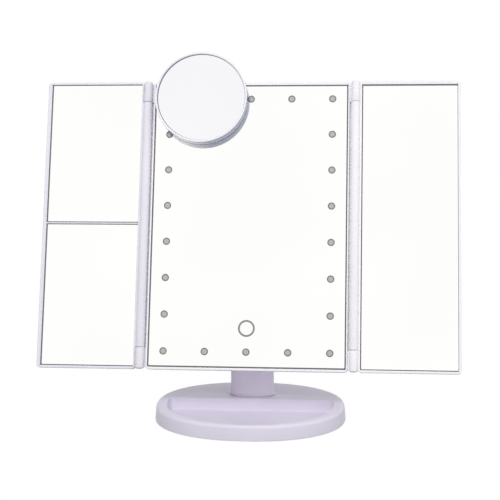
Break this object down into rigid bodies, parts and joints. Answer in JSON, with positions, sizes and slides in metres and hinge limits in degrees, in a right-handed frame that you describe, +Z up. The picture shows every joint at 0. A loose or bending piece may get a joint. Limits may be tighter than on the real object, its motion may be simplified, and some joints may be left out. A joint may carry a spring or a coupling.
{
  "type": "lighted tri-fold makeup mirror",
  "caption": "Free-standing tri-fold makeup mirror with small round lights, a touch ring, folding side mirrors, a removable round magnifier and an oval base with a tray.",
  "frame": {"origin": "centre of the base's footprint, level with the undersides of the rubber feet", "axes": "+Z up, +X to the user's right as the user looks into the mirror, -Y towards the user"},
  "size_m": [0.3502, 0.1161, 0.3089],
  "materials": {
    "white_plastic": "satin-gloss white with a faint lavender cast",
    "inner_plastic": "matt moulded",
    "mirror_glass": "silvered glass",
    "steel": "plated",
    "ballast_iron": "as cast",
    "grey_rubber": "matt",
    "clear_rubber": "translucent soft",
    "circuit_board": "white solder mask",
    "sensor_foil": "copper foil",
    "cell_can": "dark printed jacket"
  },
  "bodies": {
    "base": {"base_shell": "white_plastic", "base_bottom_plate": "white_plastic", "base_ballast_plate": "ballast_iron", "foot_front_left": "grey_rubber", "foot_rear_left": "grey_rubber", "foot_front_right": "grey_rubber", "foot_rear_right": "grey_rubber", "base_screw_left": "steel", "base_screw_right": "steel"},
    "stem": {"stem_front_shell": "white_plastic", "stem_rear_shell": "white_plastic", "stem_foot_plug": "inner_plastic", "stem_tilt_block": "inner_plastic", "stem_screw_lower": "steel", "stem_screw_upper": "steel"},
    "head": {"tilt_bracket": "white_plastic", "tilt_shaft": "steel", "tilt_nut": "steel", "tilt_friction_washer_left": "steel", "tilt_friction_washer_right": "steel", "bracket_screw_lower": "steel", "bracket_screw_upper": "steel", "main_front_frame": "white_plastic", "main_mirror_glass": "mirror_glass", "main_backing_plate": "inner_plastic", "touch_sensor_pad": "sensor_foil", "led_board_left": "circuit_board", "led_board_right": "circuit_board", "led_board_bottom": "circuit_board", "led_board_top": "circuit_board", "main_rear_cover": "white_plastic", "battery_cell_1": "cell_can", "battery_cell_2": "cell_can", "battery_cell_3": "cell_can", "battery_cell_4": "cell_can", "battery_contacts_bottom": "steel", "battery_contacts_top": "steel", "control_board": "circuit_board", "usb_inlet": "steel", "cover_screw_top_left": "steel", "cover_screw_top_right": "steel", "cover_screw_bottom_left": "steel", "cover_screw_bottom_right": "steel", "left_hinge_pin_bottom": "steel", "left_hinge_pin_top": "steel", "right_hinge_pin_bottom": "steel", "right_hinge_pin_top": "steel"},
    "left_wing": {"left_wing_frame": "white_plastic", "left_wing_back_panel": "white_plastic", "left_upper_mirror": "mirror_glass", "left_lower_mirror": "mirror_glass"},
    "right_wing": {"right_wing_frame": "white_plastic", "right_wing_back_panel": "white_plastic", "right_wing_mirror": "mirror_glass"},
    "spot_mirror": {"spot_mirror_case": "white_plastic", "spot_mirror_glass": "mirror_glass", "spot_suction_cup_left": "clear_rubber", "spot_suction_cup_right": "clear_rubber"},
    "power_switch": {"power_switch_slider": "grey_rubber"},
    "battery_door": {"battery_door": "white_plastic"}
  },
  "joints": [
    {"name": "stem_lift", "type": "slide", "parent": "base", "child": "stem", "axis": [0, 0, 1], "range_m": [0, 0.03]},
    {"name": "head_tilt", "type": "hinge", "parent": "stem", "child": "head", "pos_m": [0, 0.02356, 0.1333], "axis": [-1, 0, 0], "range_deg": [-19, 50]},
    {"name": "left_wing_fold", "type": "hinge", "parent": "head", "child": "left_wing", "pos_m": [-0.08815, 0.00515, 0.16928], "axis": [0, 0.3486, 0.9373], "range_deg": [0, 100]},
    {"name": "right_wing_fold", "type": "hinge", "parent": "head", "child": "right_wing", "pos_m": [0.08815, 0.00515, 0.16928], "axis": [0, -0.3486, -0.9373], "range_deg": [0, 180]},
    {"name": "spot_mirror_pull", "type": "slide", "parent": "head", "child": "spot_mirror", "axis": [0, -0.9373, 0.3486], "range_m": [0, 0.02]},
    {"name": "power_switch_slide", "type": "slide", "parent": "head", "child": "power_switch", "axis": [1, 0, 0], "range_m": [0, 0.003]},
    {"name": "battery_door_off", "type": "slide", "parent": "head", "child": "battery_door", "axis": [0, 0.9373, -0.3486], "range_m": [0, 0.025]}
  ]
}
